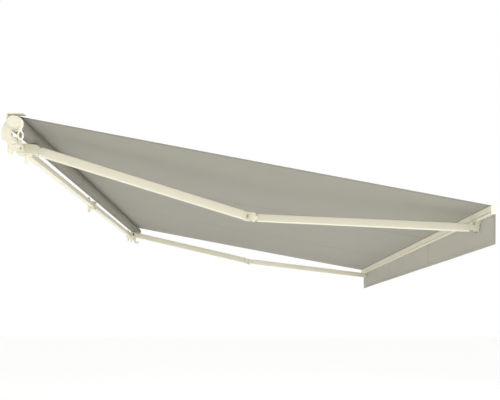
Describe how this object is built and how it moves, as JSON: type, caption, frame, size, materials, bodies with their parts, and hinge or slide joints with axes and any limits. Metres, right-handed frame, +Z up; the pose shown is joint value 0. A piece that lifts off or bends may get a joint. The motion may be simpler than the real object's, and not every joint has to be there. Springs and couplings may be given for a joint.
{
  "type": "folding arm awning",
  "caption": "Retractable canvas awning with folding arms, fabric roller, crank gear and front bar with valance, fixed to a wall.",
  "frame": {"origin": "back face of the middle wall bracket, at mid-width and level with the centre of the square bar", "axes": "+X along the wall away from the gear end, +Y into the wall, +Z up; the canopy slopes out towards -Y"},
  "size_m": [3.4963, 2.6112, 0.6839],
  "materials": {
    "cream": "satin powder coat over steel",
    "alloy": "satin powder coat over extruded and cast aluminium",
    "zinc": "zinc plated",
    "cloth": "woven acrylic",
    "plastic": "moulded"
  },
  "bodies": {
    "root": {"torsion_bar": "cream", "bar_plug_left": "plastic", "bar_plug_right": "plastic", "wall_bracket_left": "alloy", "wall_bracket_middle": "alloy", "wall_bracket_right": "alloy", "bar_clamp_left": "alloy", "bar_clamp_middle": "alloy", "bar_clamp_right": "alloy", "clamp_bolt_left_lower": "zinc", "clamp_bolt_middle_upper": "zinc", "clamp_bolt_middle_lower": "zinc", "clamp_bolt_right_lower": "zinc", "hood_flange_left": "cream", "hood_flange_right": "cream", "roller_plate_left": "alloy", "roller_plate_right": "alloy", "gear_housing": "alloy", "idler_bush": "plastic", "shoulder_bracket_left": "alloy", "shoulder_bracket_right": "alloy", "shoulder_pin_left": "zinc", "shoulder_pin_right": "zinc", "pitch_screw_left": "plastic", "pitch_screw_right": "plastic", "canopy": "cloth"},
    "roller": {"fabric_roll": "cloth", "roller_tube": "zinc", "roller_cap_left": "plastic", "roller_cap_right": "plastic", "drive_gear": "zinc"},
    "crank": {"crank_eye": "cream", "worm": "zinc"},
    "front": {"front_bar": "alloy", "front_cap_left": "plastic", "front_cap_right": "plastic", "front_fork_left": "alloy", "front_fork_right": "alloy", "front_pin_left": "zinc", "front_pin_right": "zinc", "valance": "cloth"},
    "left_upper_arm": {"upper_arm_left": "alloy", "shoulder_knuckle_left": "alloy", "elbow_fork_left": "alloy", "elbow_pin_left": "zinc", "arm_spring_left": "zinc", "spring_cable_left": "zinc"},
    "left_forearm": {"forearm_left": "alloy", "elbow_tongue_left": "alloy", "front_tongue_left": "alloy"},
    "right_upper_arm": {"upper_arm_right": "alloy", "shoulder_knuckle_right": "alloy", "elbow_fork_right": "alloy", "elbow_pin_right": "zinc", "arm_spring_right": "zinc", "spring_cable_right": "zinc"},
    "right_forearm": {"forearm_right": "alloy", "elbow_tongue_right": "alloy", "front_tongue_right": "alloy"}
  },
  "joints": [
    {"name": "left_shoulder", "type": "hinge", "parent": "root", "child": "left_upper_arm", "pos_m": [-1.497, -0.102, -0.002], "axis": [0, -0.1734, 0.9849], "range_deg": [0, 74.6], "deforming": ["canopy"]},
    {"name": "left_elbow", "type": "hinge", "parent": "left_upper_arm", "child": "left_forearm", "pos_m": [-1.202, -1.32514, -0.32194], "axis": [0, -0.1734, 0.9849], "range_deg": [-149.2, 0]},
    {"name": "left_front", "type": "hinge", "parent": "left_forearm", "child": "front", "pos_m": [-1.497, -2.584, -0.439], "axis": [0, -0.1734, 0.9849], "range_deg": [0, 74.6]},
    {"name": "right_shoulder", "type": "hinge", "parent": "root", "child": "right_upper_arm", "pos_m": [1.497, -0.102, -0.002], "axis": [0, -0.1734, 0.9849], "range_deg": [-74.6, 0]},
    {"name": "right_elbow", "type": "hinge", "parent": "right_upper_arm", "child": "right_forearm", "pos_m": [1.202, -1.32514, -0.32194], "axis": [0, -0.1734, 0.9849], "range_deg": [0, 149.2]},
    {"name": "roller_spin", "type": "hinge", "parent": "root", "child": "roller", "pos_m": [0, -0.0823, 0.0684], "axis": [-1, 0, 0], "range_deg": [0, 3357]},
    {"name": "crank_spin", "type": "hinge", "parent": "root", "child": "crank", "pos_m": [-1.7465, -0.1165, 0.03], "axis": [0, 0, 1], "range_deg": [0, 23499]}
  ],
  "couplings": [
    {"joint": "left_elbow", "follows": "left_shoulder", "ratio": -2},
    {"joint": "left_front", "follows": "left_shoulder", "ratio": 1},
    {"joint": "right_shoulder", "follows": "left_shoulder", "ratio": -1},
    {"joint": "right_elbow", "follows": "left_shoulder", "ratio": 2},
    {"joint": "roller_spin", "follows": "left_shoulder", "ratio": 45},
    {"joint": "crank_spin", "follows": "left_shoulder", "ratio": 315}
  ]
}
